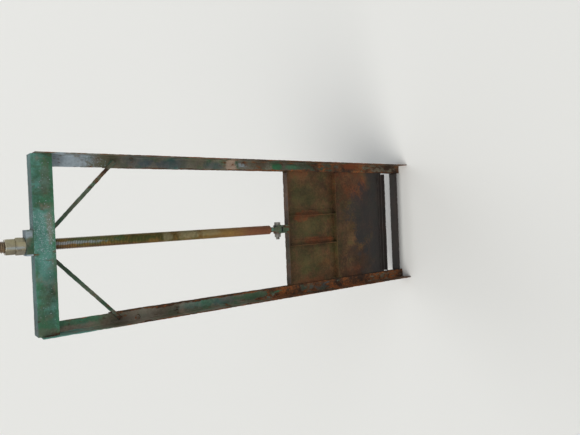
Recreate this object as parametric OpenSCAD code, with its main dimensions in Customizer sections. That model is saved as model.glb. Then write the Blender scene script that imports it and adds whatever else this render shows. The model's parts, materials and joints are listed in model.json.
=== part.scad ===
// Wall-mounted sluice gate with a rising screw stem.
// Front faces -Y. The wall is the plane Y = 0, and the origin is the centre of the sill's back face.

/* [Frame] */
// Overall width across the two rails
frame_w = 700; // [500:1:1000]
// Height of the yoke's underside above the origin
yoke_z = 2025; // [1900:1:2600]
// Height at which the seat and guide bars end, level with the wall's top
guide_top = 1815; // [1500:1:1850]
// Face leg of the rail angles, in front of the leaf's edges
rail_leg = 50; // [45:1:60]
// Outer leg of the rail angles, towards the front
rail_out = 70; // [60:1:90]
// Thickness of the rail angles
rail_t = 5; // [4:0.5:8]
// Radius between the rail angles' legs
rail_root = 4.5; // [3:0.5:6]
// Radius on the inner side of the rail legs' edges
rail_toe = 3; // [1:0.5:3.5]
// How far the rails' outer legs end below the yoke's top
rail_drop = 12; // [5:1:40]
// Width of the seat bars on the wall
seat_w = 50; // [45:1:60]
// Thickness of the seat bars, the head bar and the sill angle
seat_t = 8; // [6:0.5:12]
// Width of the guide bars between seat bar and rail
guide_w = 27; // [24:1:32]
// Height of the sill's and head bar's faces on the wall
bar_h = 60; // [50:1:80]
// Reach of the sill's flat leg from the wall
sill_d = 55; // [40:1:80]
// Clear height of the waterway between sill and head bar
opening_h = 550; // [400:1:600]

/* [Leaf] */
// Height of the leaf plate
leaf_h = 750; // [700:1:850]
// Thickness of the leaf plate
leaf_t = 8; // [6:0.5:12]
// How far the leaf stands open
leaf_raise = 100; // [20:1:300]
// Clearance in front of and behind the leaf in its slot
slot_gap = 5; // [3:0.5:8]
// Clearance beside the leaf's edges
edge_gap = 5; // [3:0.5:8]
// Leg of the leaf's stiffening angles
rib_leg = 30; // [25:1:40]
// Thickness of the leaf's stiffening angles
rib_t = 4; // [3:0.5:6]
// Radius between the stiffening angles' legs
rib_root = 5; // [3:0.5:6]
// Radius on the inner side of the stiffening legs' edges
rib_toe = 2.5; // [1:0.5:2.5]
// Clearance between the stiffening angles' ends and the rails
rib_gap = 8; // [5:1:15]
// Distance between the two upright ribs
rib_pitch = 158; // [120:1:220]
// Depth of the cross rib's top below the leaf's top
cross_rib_depth = 340; // [250:1:450]

/* [Yoke and braces] */
// Height of the yoke channel
yoke_h = 76; // [70:1:100]
// Depth of the yoke channel, front to back
yoke_d = 62; // [56:1:72]
// How far the yoke's web stands back from the rails' front edges
yoke_recess = 22; // [10:1:30]
// Thickness of the yoke's web
yoke_web = 6; // [5:0.5:8]
// Thickness of the yoke's flanges
yoke_flange = 7; // [5:0.5:9]
// Radius between the yoke's web and flanges
yoke_root = 8; // [5:0.5:10]
// Radius on the inner side of the flanges' edges
yoke_toe = 4; // [2:0.5:4.5]
// Gap between the web's inner face and the stem
stem_to_web = 5; // [4:0.5:8]
// Width of a brace
brace_w = 16; // [10:1:20]
// Thickness of a brace
brace_t = 8; // [5:0.5:10]
// Distance from the stem's axis to a brace's upper end
brace_top_x = 60; // [50:1:90]
// Distance from a brace's lower end to the rail's outer face
brace_foot_in = 23; // [18:1:30]
// Drop of a brace from the yoke to its lower end
brace_drop = 250; // [150:1:350]

/* [Stem and nuts] */
// Diameter of the stem
stem_d = 44; // [36:1:46]
// Radial clearance of the stem in the yoke and the bearing block
stem_clear = 2; // [1:0.5:4]
// Radial clearance of the stem's thread in the nuts
nut_fit = 0.05; // [0.02:0.01:0.08]
// Length of the stem that stands above the upper nut
stem_above = 188; // [150:1:400]
// Chamfer at the stem's top
stem_chamfer = 3; // [1:0.5:5]
// Nut size across flats
nut_af = 58; // [55:1:70]
// Height of one nut
nut_h = 34; // [25:1:40]
// Turn of the lower nut about the stem
lower_nut_turn = 0; // [0:1:60]
// Turn of the upper nut about the stem
upper_nut_turn = 30; // [0:1:60]
// Length of the bearing block along the yoke
block_w = 98; // [90:1:120]
// Depth of the bearing block
block_d = 58; // [54:1:60]
// Height of the bearing block
block_h = 26; // [15:1:40]
// How far the bearing block's centre stands to the right of the stem
block_shift = 11; // [0:1:15]

/* [Lug] */
// Height of the lug bolt above the leaf's top
lug_z = 68; // [50:1:90]
// Thickness of a lug
lug_t = 8; // [6:0.5:12]
// Radius of a lug's round head
lug_r = 22; // [20:0.5:24]
// Height of the block that joins the lugs' feet
lug_block_h = 40; // [20:1:42]
// Thickness of the stem's eye
eye_t = 24; // [16:1:28]
// Side clearance between the eye and a lug
eye_gap = 0.5; // [0.3:0.1:1]
// Height of the stem's lower end above the lug bolt
eye_z = 53; // [40:1:70]
// Diameter of the lug bolt
bolt_d = 20; // [14:1:22]
// Radial clearance of the lug bolt in its holes
bolt_clear = 0.3; // [0.2:0.1:0.6]
// Bolt head and nut size across flats
bolt_af = 30; // [26:1:34]
// Height of the bolt's head
bolt_head_h = 13; // [8:1:16]
// Height of the bolt's nut
bolt_nut_h = 16; // [10:1:20]
// Thickness of a washer
washer_t = 3; // [2:0.5:5]
// Radius of a washer
washer_r = 18.5; // [17:0.5:21]
// Length of thread that stands out of the bolt's nut
bolt_out = 12; // [4:1:25]

/* [Anchors] */
// Diameter of an anchor hole
anchor_d = 12; // [9:1:12]
// Height of the lowest anchor hole above the origin
anchor_z = 100; // [40:1:300]
// Distance between anchor holes up a rail
anchor_pitch = 800; // [500:1:820]
// Number of anchor holes up a rail
anchor_count = 3; // [2:1:3]

/* [Hidden] */
$fn = 64;
// Cuts run this far past the faces they open
past = 1;
frame_bottom = -bar_h / 2;
sill_top = bar_h / 2;
half_w = frame_w / 2;
slot_t = leaf_t + 2 * slot_gap;
// Distances from the wall to the front of each layer
guide_front = seat_t + slot_t;
face_front = guide_front + rail_t;
leg_front = guide_front + rail_out;
leaf_back = seat_t + slot_gap;
leaf_front = leaf_back + leaf_t;
yoke_front = leg_front - yoke_recess;
yoke_back = yoke_front - yoke_d;
yoke_top = yoke_z + yoke_h;
// Distance from the wall to the stem's axis
stem_y = yoke_front - yoke_web - stem_to_web - stem_d / 2;
leaf_bottom = sill_top + leaf_raise;
leaf_top = leaf_bottom + leaf_h;
leaf_w = frame_w - 2 * (guide_w + edge_gap);
rib_len = frame_w - 2 * (rail_leg + rib_gap);
cross_rib_top = leaf_top - cross_rib_depth;
bolt_z = leaf_top + lug_z;
stem_bottom = bolt_z + eye_z;
block_top = yoke_top + block_h;
stem_top = block_top + 2 * nut_h + stem_above;
lug_in = eye_t / 2 + eye_gap;
lug_out = lug_in + lug_t;
washer_out = lug_out + washer_t;
bolt_hole_r = bolt_d / 2 + bolt_clear;
stem_hole_r = stem_d / 2 + stem_clear;
// Anchor holes stand in the middle of the guide bar's part that the outer leg leaves free
anchor_x = half_w - rail_t - (guide_w - rail_t) / 2;
paint = [0.16, 0.42, 0.31];
rust = [0.42, 0.24, 0.14];
stem_brown = [0.45, 0.30, 0.16];
bronze = [0.62, 0.50, 0.30];
grey_steel = [0.45, 0.45, 0.44];

// A box from its left, front and bottom faces; front is a distance from the wall
module block(x0, x1, back, front, z0, z1) {
    translate([x0, -front, z0])
        cube([x1 - x0, front - back, z1 - z0]);
}

// The same shape on the right as given, or mirrored to the left
module side(right) {
    if (right)
        children();
    else
        mirror([1, 0, 0])
            children();
}

// The corner outside a quarter circle, to be cut from a leg's edge that ends at x, y
module toe(x, y, radius) {
    translate([x - radius, y - radius])
        difference() {
            square(radius + past);
            circle(r = radius);
        }
}

// The quarter of metal that fills the corner between two legs, from x, y outwards
module root(x, y, radius) {
    translate([x, y])
        difference() {
            square(radius);
            translate([radius, radius])
                circle(r = radius);
        }
}

// A rolled angle's section, its heel at 0, 0 and its legs along X and Y
module angle_section(leg_x, leg_y, thick, root_r, toe_r) {
    difference() {
        union() {
            square([leg_x, thick]);
            square([thick, leg_y]);
            root(thick, thick, root_r);
        }
        toe(leg_x, thick, toe_r);
        toe(thick, leg_y, toe_r);
    }
}

// A rolled channel's section, its web's outer face on X = 0 and its flanges along X
module channel_section() {
    for (top = [0, 1])
        translate([0, top * yoke_h])
            mirror([0, top])
                difference() {
                    union() {
                        square([yoke_web, yoke_h / 2]);
                        square([yoke_d, yoke_flange]);
                        root(yoke_web, yoke_flange, yoke_root);
                    }
                    toe(yoke_d, yoke_flange, yoke_toe);
                }
}

module anchor_holes(depth) {
    for (i = [0 : anchor_count - 1])
        translate([anchor_x, past, anchor_z + i * anchor_pitch])
            rotate([90, 0, 0])
                cylinder(d = anchor_d, h = depth + 2 * past);
}

// The face leg ends under the yoke, and the outer leg runs on beside it
module rail(right) {
    color(paint)
        side(right)
            difference() {
                translate([half_w, -guide_front, frame_bottom])
                    rotate([0, 0, 180])
                        linear_extrude(height = yoke_top - rail_drop - frame_bottom)
                            angle_section(rail_leg, rail_out, rail_t, rail_root, rail_toe);
                block(half_w - rail_leg - past, half_w - rail_t, guide_front - past, leg_front + past,
                    yoke_z, yoke_top);
                anchor_holes(leg_front);
            }
}

module seat_bar(right) {
    color(rust)
        side(right)
            difference() {
                block(half_w - seat_w, half_w, 0, seat_t, frame_bottom, guide_top);
                anchor_holes(seat_t);
            }
}

module guide_bar(right) {
    color(rust)
        side(right)
            difference() {
                block(half_w - guide_w, half_w, seat_t, guide_front, frame_bottom, guide_top);
                anchor_holes(guide_front);
            }
}

module sill_angle() {
    half = half_w - seat_w;
    color(rust) {
        block(-half, half, 0, seat_t, frame_bottom, sill_top);
        block(-half, half, 0, sill_d, sill_top - seat_t, sill_top);
    }
}

module head_bar() {
    half = half_w - seat_w;
    color(rust)
        block(-half, half, 0, seat_t, sill_top + opening_h, sill_top + opening_h + bar_h);
}

module yoke() {
    half = half_w - rail_t;
    color(paint)
        difference() {
            translate([-half, -yoke_front, yoke_z])
                rotate([90, 0, 90])
                    linear_extrude(height = 2 * half)
                        channel_section();
            translate([0, -stem_y, yoke_z - past])
                cylinder(r = stem_hole_r, h = yoke_h + 2 * past);
        }
}

// A flat bar on the rail's face leg, cut level under the yoke
module brace(right) {
    foot_x = half_w - brace_foot_in;
    run = foot_x - brace_top_x;
    len = sqrt(run * run + brace_drop * brace_drop);
    // Half the bar's width, square to its length and along the level cut
    nx = brace_w / 2 * brace_drop / len;
    nz = brace_w / 2 * run / len;
    cut = brace_w / 2 * len / brace_drop;
    color(paint)
        side(right)
            translate([0, -face_front, yoke_z])
                rotate([90, 0, 0])
                    linear_extrude(height = brace_t)
                        polygon([
                            [brace_top_x - cut, 0],
                            [foot_x - nx, -brace_drop - nz],
                            [foot_x + nx, -brace_drop + nz],
                            [brace_top_x + cut, 0],
                        ]);
}

module bearing_block() {
    color(paint)
        difference() {
            block(block_shift - block_w / 2, block_shift + block_w / 2,
                stem_y - block_d / 2, stem_y + block_d / 2, yoke_top, block_top);
            translate([0, -stem_y, yoke_top - past])
                cylinder(r = stem_hole_r, h = block_h + 2 * past);
        }
}

// A chamfered hex nut on the Z axis, standing on Z = 0
module hex_nut(af, height, hole_r) {
    corner_r = af / sqrt(3);
    chamfer = (corner_r - af / 2) * 1.1;
    difference() {
        intersection() {
            cylinder(r = corner_r, h = height, $fn = 6);
            rotate_extrude()
                polygon([
                    [0, 0],
                    [corner_r - chamfer, 0],
                    [corner_r, chamfer / 2],
                    [corner_r, height - chamfer / 2],
                    [corner_r - chamfer, height],
                    [0, height],
                ]);
        }
        if (hole_r > 0)
            translate([0, 0, -past])
                cylinder(r = hole_r, h = height + 2 * past);
    }
}

module stem_nut(level, turn) {
    color(bronze)
        translate([0, -stem_y, block_top + level * nut_h])
            rotate([0, 0, turn])
                hex_nut(nut_af, nut_h, stem_d / 2 + nut_fit);
}

module leaf_plate() {
    color(rust)
        block(-leaf_w / 2, leaf_w / 2, leaf_back, leaf_front, leaf_bottom, leaf_top);
}

// An angle along X on the leaf plate, its flat leg at the top or at the bottom
module level_angle(z_flat, leg_down) {
    color(rust)
        translate([-rib_len / 2, -leaf_front, z_flat])
            rotate([90, 0, 90])
                linear_extrude(height = rib_len)
                    mirror([0, leg_down ? 1 : 0])
                        mirror([1, 0])
                            angle_section(rib_leg, rib_leg, rib_t, rib_root, rib_toe);
}

// An upright angle, its standing leg on the left and coped round the top angle
module upright_rib(x) {
    color(rust)
        difference() {
            translate([x - rib_leg / 2, -leaf_front, cross_rib_top])
                linear_extrude(height = leaf_top - rib_t - cross_rib_top)
                    mirror([0, 1])
                        angle_section(rib_leg, rib_leg, rib_t, rib_root, rib_toe);
            block(x - rib_leg / 2 - past, x + rib_leg / 2 + past,
                leaf_front - past, leaf_front + rib_t + rib_root, leaf_top - rib_leg, leaf_top);
        }
}

// A cylinder along X about the lug bolt's axis
module on_bolt(x0, x1, radius) {
    translate([x0, -stem_y, bolt_z])
        rotate([0, 90, 0])
            cylinder(r = radius, h = x1 - x0);
}

// A lug stands on the top angle and carries the bolt in its round head
module lug(right) {
    side_y = lug_r * 0.96;
    side_z = lug_r * 0.28;
    color(paint)
        side(right)
            difference() {
                union() {
                    on_bolt(lug_in, lug_out, lug_r);
                    translate([lug_in, 0, leaf_top])
                        rotate([90, 0, 90])
                            linear_extrude(height = lug_t)
                                polygon([
                                    [-leaf_front, 0],
                                    [-leaf_front, lug_z - 3 * side_z],
                                    [-stem_y + side_y, lug_z - side_z],
                                    [-stem_y + side_y, lug_z],
                                    [-stem_y - side_y, lug_z],
                                    [-stem_y - side_y, lug_z - side_z],
                                    [-leaf_front - rib_leg, 0],
                                ]);
                }
                on_bolt(lug_in - past, lug_out + past, bolt_hole_r);
            }
}

module lug_block() {
    color(paint)
        block(-lug_in, lug_in, leaf_front, leaf_front + rib_leg, leaf_top, leaf_top + lug_block_h);
}

module lug_bolt() {
    color(grey_steel) {
        on_bolt(-washer_out - bolt_nut_h - bolt_out, washer_out, bolt_d / 2);
        translate([washer_out, -stem_y, bolt_z])
            rotate([0, 90, 0])
                hex_nut(bolt_af, bolt_head_h, 0);
    }
}

module lug_nut() {
    color(grey_steel)
        translate([-washer_out, -stem_y, bolt_z])
            rotate([0, -90, 0])
                hex_nut(bolt_af, bolt_nut_h, bolt_d / 2 + nut_fit);
}

module washer(right) {
    color(grey_steel)
        side(right)
            difference() {
                on_bolt(lug_out, washer_out, washer_r);
                on_bolt(lug_out - past, washer_out + past, bolt_hole_r);
            }
}

// The stem's flat eye, as wide as the stem, between the lugs
module stem_eye() {
    color(paint)
        difference() {
            union() {
                on_bolt(-eye_t / 2, eye_t / 2, stem_d / 2);
                block(-eye_t / 2, eye_t / 2, stem_y - stem_d / 2, stem_y + stem_d / 2, bolt_z, stem_bottom);
            }
            on_bolt(-eye_t / 2 - past, eye_t / 2 + past, bolt_hole_r);
        }
}

module stem() {
    color(stem_brown)
        translate([0, -stem_y, stem_bottom]) {
            cylinder(d = stem_d, h = stem_top - stem_bottom - stem_chamfer);
            translate([0, 0, stem_top - stem_bottom - stem_chamfer])
                cylinder(d1 = stem_d, d2 = stem_d - 2 * stem_chamfer, h = stem_chamfer);
        }
}

rail(false);  // left_rail
rail(true);  // right_rail
seat_bar(false);  // left_seat_bar
seat_bar(true);  // right_seat_bar
guide_bar(false);  // left_guide_bar
guide_bar(true);  // right_guide_bar
sill_angle();
head_bar();
yoke();
brace(false);  // left_brace
brace(true);  // right_brace
bearing_block();
stem_nut(0, lower_nut_turn);  // lower_nut
stem_nut(1, upper_nut_turn);  // upper_nut
leaf_plate();
level_angle(leaf_top, true);  // leaf_top_angle
level_angle(leaf_bottom, false);  // leaf_bottom_angle
level_angle(cross_rib_top, true);  // cross_rib
upright_rib(-rib_pitch / 2);  // left_rib
upright_rib(rib_pitch / 2);  // right_rib
lug(false);  // left_lug
lug(true);  // right_lug
lug_block();
lug_bolt();
lug_nut();
washer(false);  // left_washer
washer(true);  // right_washer
stem_eye();
stem();
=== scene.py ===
"""Looks of a wall-mounted sluice gate: weathered steel, welds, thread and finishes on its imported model."""

import json
import math
import random

import bmesh
import bpy
from bpy.props import FloatProperty, FloatVectorProperty, IntProperty, PointerProperty
from bpy.types import Operator, Panel, PropertyGroup
from mathutils import Color, Matrix, Vector, kdtree, noise


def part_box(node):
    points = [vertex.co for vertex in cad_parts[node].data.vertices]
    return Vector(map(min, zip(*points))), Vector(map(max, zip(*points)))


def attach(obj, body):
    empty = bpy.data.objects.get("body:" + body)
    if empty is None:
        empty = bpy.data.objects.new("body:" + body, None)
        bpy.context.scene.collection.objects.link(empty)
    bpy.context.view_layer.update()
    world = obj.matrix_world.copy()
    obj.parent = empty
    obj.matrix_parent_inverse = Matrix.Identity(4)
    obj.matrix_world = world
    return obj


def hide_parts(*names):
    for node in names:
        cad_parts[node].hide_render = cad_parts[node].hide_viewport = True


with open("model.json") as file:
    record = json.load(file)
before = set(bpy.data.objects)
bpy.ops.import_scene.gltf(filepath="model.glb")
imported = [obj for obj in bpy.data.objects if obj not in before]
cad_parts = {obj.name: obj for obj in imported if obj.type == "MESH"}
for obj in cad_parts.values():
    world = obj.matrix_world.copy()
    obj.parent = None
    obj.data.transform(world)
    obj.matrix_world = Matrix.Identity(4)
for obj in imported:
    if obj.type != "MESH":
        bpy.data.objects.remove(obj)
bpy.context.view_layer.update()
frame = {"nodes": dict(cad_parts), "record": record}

bl_info = {
    "name": "Sluice gate looks",
    "version": (1, 0, 0),
    "blender": (4, 5, 0),
    "location": "View3D > Sidebar > Sluice gate",
    "description": "Weathered steel, welds, thread and finishes of a wall-mounted sluice gate",
    "category": "Object",
}

# Places that several pieces share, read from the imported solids
STEM_LOW, STEM_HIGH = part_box("stem")
STEM_Y = (STEM_LOW.y + STEM_HIGH.y) / 2
STEM_R = (STEM_HIGH.x - STEM_LOW.x) / 2
YOKE_LOW, YOKE_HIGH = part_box("yoke")
RAIL_LOW, RAIL_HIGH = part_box("right_rail")
LEAF_LOW, LEAF_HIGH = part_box("leaf_plate")

# Masks that the weathering leaves on a mesh and the finishes read
MASKS = ("edge", "pit", "up", "nook")


def colour_property(name, description, level):
    """A colour swatch that the finishes read, from its 0 to 255 levels."""
    return FloatVectorProperty(name=name, description=description, default=[part / 255 for part in level],
                               min=0, max=1, size=3, subtype="COLOR_GAMMA")


def length_property(name, description, metres):
    """A length that the builders read."""
    return FloatProperty(name=name, description=description, default=metres, min=0, unit="LENGTH",
                         precision=4)


def angle_property(name, description, degrees):
    """An angle of the studio."""
    return FloatProperty(name=name, description=description, default=math.radians(degrees), subtype="ANGLE",
                         unit="ROTATION")


def strength_property(name, description, strength):
    """The strength of a lamp or of the sky."""
    return FloatProperty(name=name, description=description, default=strength, min=0)


class GateColours(PropertyGroup):
    """Colours of the gate's paint, rust, dirt and bare metals, some of which also serve as painted highlights
    and sky sheen.
    """
    paint_green: colour_property("Paint green", "Old green paint", (52, 100, 72))
    # Teal is also the colour of a painted highlight along edges
    paint_teal: colour_property("Paint teal", "Paint where the sun has bleached it", (80, 129, 119))
    paint_dark: colour_property("Paint dark", "Paint in grime and shade", (36, 60, 42))
    worn_grey: colour_property("Worn grey", "Chalked primer where the paint is rubbed thin", (110, 99, 88))
    rust_dark: colour_property("Dark rust", "Old scale", (50, 35, 26))
    rust_mid: colour_property("Middle rust", "Ordinary rust", (88, 58, 36))
    rust_bright: colour_property("Bright rust", "Fresh rust on edges", (146, 82, 38))
    rust_red: colour_property("Red rust", "Red-brown rust in blotches", (102, 55, 31))
    mud: colour_property("Mud", "Brown mud over the paint", (84, 74, 58))
    bright_green: colour_property("Bright green", "Paint that has kept its colour", (38, 94, 60))
    # This pale colour is chalky paint, and also the colour of painted highlights on the stem, the nuts and
    # the bearing block and of a painted sky reflection on the right rail
    bleached: colour_property("Bleached", "Chalky blue-white paint", (146, 158, 166))
    # This blue-grey is dust and also a painted sky sheen on upward faces
    dust: colour_property("Dust", "Grey dust on ledges", (50, 66, 78))
    pale_grease: colour_property("Pale grease", "Dried pale grease", (146, 138, 104))
    moss: colour_property("Moss", "Moss on the screw", (48, 64, 20))
    mortar: colour_property("Mortar", "Dried splashes of mortar and silt", (152, 132, 116))
    slime: colour_property("Slime", "Olive growth on damp steel", (58, 60, 32))
    leaf_brown: colour_property("Leaf brown", "Silt-stained rust of the leaf", (80, 60, 38))
    wet_dark: colour_property("Wet dark", "Soaked steel near the water", (33, 34, 36))
    screw_gold: colour_property("Screw gold", "Greasy thread", (120, 92, 44))
    screw_olive: colour_property("Screw olive", "Thread under green grease", (88, 82, 36))
    screw_rod: colour_property("Screw rod", "Rust-brown plain rod", (104, 66, 38))
    bronze: colour_property("Bronze", "Dull nut bronze", (152, 146, 122))
    zinc: colour_property("Zinc", "Dull bolt zinc", (108, 107, 103))
    floor: colour_property("Floor", "Pale studio floor", (222, 221, 217))
    backdrop: colour_property("Backdrop", "Backdrop beyond the floor", (230, 230, 226))


class GateDetail(PropertyGroup):
    """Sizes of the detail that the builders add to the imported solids."""
    rail_cell: length_property("Rail cell", "Mesh spacing on the rails", 0.005)
    bar_cell: length_property("Bar cell", "Mesh spacing on the seat, guide, sill and head bars", 0.006)
    yoke_cell: length_property("Yoke cell", "Mesh spacing on the yoke and the angles", 0.004)
    plate_cell: length_property("Plate cell", "Mesh spacing on the leaf plate", 0.005)
    small_cell: length_property("Small cell", "Mesh spacing on the small parts", 0.0025)
    arris: length_property("Arris", "Rounding of a rolled or cut steel edge", 0.0008)
    pitting: length_property("Pitting", "Depth that rust has eaten", 0.0007)
    nibble: length_property("Nibble", "Depth that rust has eaten from edges", 0.0012)
    edge_reach: length_property("Edge reach", "Width of the rusty margin along an edge", 0.011)
    bead: length_property("Bead", "Radius of a weld bead", 0.0032)
    ripple: length_property("Ripple", "Length of one weld ripple", 0.0032)
    thread_pitch: length_property("Thread pitch", "Pitch of the stem's screw", 0.00635)
    thread_depth: length_property("Thread depth", "Depth of the stem's screw", 0.003)
    thread_from: length_property("Thread from", "Height at which the stem's screw begins", 1.385)
    bolt_pitch: length_property("Bolt pitch", "Pitch of the lug bolt's thread", 0.0025)
    seed: IntProperty(name="Seed", description="Start of the random weld ripples", default=17, min=0)


class GateStudio(PropertyGroup):
    """Camera and light of the studio."""
    camera_place: FloatVectorProperty(name="Camera place", description="Where the camera stands", size=3,
                                      default=(0.0882, -2.1843, 2.5405), subtype="TRANSLATION", unit="LENGTH")
    pitch: angle_property("Pitch", "How far the camera looks down", 38.045)
    yaw: angle_property("Yaw", "Turn of the camera about the upright", 0.824)
    roll: angle_property("Roll", "Lean of the camera beside its quarter turn", -2.846)
    lens: FloatProperty(name="Lens", description="Focal length on a 36 mm wide sensor", default=32.28,
                        unit="CAMERA")
    sky: strength_property("Sky", "Strength of the even light from all round", 0.52)
    key: strength_property("Key", "Strength of the wide lamp above and to the left", 2.0)
    fill: strength_property("Fill", "Strength of the wide lamp in front", 0.3)
    back: strength_property("Back", "Strength of the wide lamp behind", 0.5)
    softness: angle_property("Softness", "Width of the lamps as the gate sees them", 45)
    floor_size: length_property("Floor size", "Width of the studio floor", 90)


def linear(level):
    """A swatch's colour as the shader nodes read it."""
    return (*Color(level).from_srgb_to_scene_linear(), 1)


def smooth(low, high, value):
    """0 below low, 1 above high and an eased step between."""
    t = min(max((value - low) / (high - low), 0), 1)
    return t * t * (3 - 2 * t)


# Shader wiring


class Wiring:
    """Adds nodes to one tree. A value may be a number, a colour or another node's output."""

    def __init__(self, tree):
        self.tree = tree

    def node(self, kind, **settings):
        """A new node with its settings."""
        made = self.tree.nodes.new(kind)
        for name, value in settings.items():
            setattr(made, name, value)
        return made

    def feed(self, socket, value):
        """Links an output to the socket, or sets the socket to a plain value."""
        if isinstance(value, bpy.types.NodeSocket):
            self.tree.links.new(value, socket)
        else:
            socket.default_value = value

    def sum(self, operation, first, second=0.0, third=None):
        """The result of one Math node."""
        made = self.node("ShaderNodeMath", operation=operation)
        for socket, value in zip(made.inputs, (first, second, third)):
            if value is not None:
                self.feed(socket, value)
        return made.outputs[0]

    def times(self, first, second):
        return self.sum("MULTIPLY", first, second)

    def times_plus(self, first, second, third):
        return self.sum("MULTIPLY_ADD", first, second, third)

    def blend(self, mask, low, high, way="MIX"):
        """The colour low where the mask is 0 and high where it is 1."""
        made = self.node("ShaderNodeMix", data_type="RGBA", blend_type=way, clamp_factor=True)
        self.feed(made.inputs["Factor"], mask)
        self.feed(made.inputs[6], low)
        self.feed(made.inputs[7], high)
        return made.outputs[2]

    def coat(self, surface, mask, colour, strength):
        """The surface's colour under a coat of another that is as thick as mask times strength."""
        return self.blend(self.times(mask, strength), surface, colour)

    def ease(self, value, low, high, start=0.0, end=1.0):
        """An eased step from start, where the value is low, to end, where it is high."""
        made = self.node("ShaderNodeMapRange", interpolation_type="SMOOTHSTEP", clamp=True)
        for socket, given in zip(made.inputs, (value, low, high, start, end)):
            self.feed(socket, given)
        return made.outputs[0]

    def grain(self, vector, scale, detail=4.0, rough=0.6):
        """Noise from 0 to 1."""
        made = self.node("ShaderNodeTexNoise")
        self.feed(made.inputs["Vector"], vector)
        self.feed(made.inputs["Scale"], scale)
        made.inputs["Detail"].default_value = detail
        made.inputs["Roughness"].default_value = rough
        return made.outputs["Fac"]

    def moved(self, vector, shift=(0, 0, 0), scale=(1, 1, 1)):
        """The vector shifted and scaled, so that two noises differ or a pattern is drawn out."""
        made = self.node("ShaderNodeMapping")
        self.feed(made.inputs["Vector"], vector)
        made.inputs["Location"].default_value = shift
        made.inputs["Scale"].default_value = scale
        return made.outputs[0]

    def shaken(self, vector, scale, amount):
        """The vector moved about by noise, which gives uneven outlines to what is drawn with it."""
        made = self.node("ShaderNodeTexNoise")
        self.feed(made.inputs["Vector"], vector)
        made.inputs["Scale"].default_value = scale
        moved = self.node("ShaderNodeVectorMath", operation="MULTIPLY_ADD")
        self.feed(moved.inputs[0], made.outputs["Color"])
        moved.inputs[1].default_value = (amount, amount, amount)
        self.feed(moved.inputs[2], vector)
        return moved.outputs["Vector"]

    def axes(self, vector):
        """The vector's X, Y and Z."""
        made = self.node("ShaderNodeSeparateXYZ")
        self.feed(made.inputs[0], vector)
        return made.outputs

    def worn(self, name):
        """A mask that the weathering left on the mesh, such as edge or pit."""
        return self.node("ShaderNodeAttribute", attribute_name=name).outputs["Fac"]

    def use(self, group, **values):
        """A node group with its values."""
        made = self.node("ShaderNodeGroup", node_tree=bpy.data.node_groups[group])
        for name, value in values.items():
            self.feed(made.inputs[name], value)
        return made.outputs


SOCKET_KINDS = {"Vector": "Vector", **dict.fromkeys(("Colour", "Dark", "Middle", "Bright"), "Color")}


def new_group(name, inputs, outputs):
    """A node group ready to be wired. A socket is a number where SOCKET_KINDS doesn't say otherwise."""
    tree = bpy.data.node_groups.new(name, "ShaderNodeTree")
    for side, sockets in (("INPUT", inputs), ("OUTPUT", outputs)):
        for socket in sockets.split():
            kind = "NodeSocket" + SOCKET_KINDS.get(socket, "Float")
            tree.interface.new_socket(name=socket, in_out=side, socket_type=kind)
    wiring = Wiring(tree)
    return wiring, wiring.node("NodeGroupInput").outputs, wiring.node("NodeGroupOutput").inputs


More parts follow.
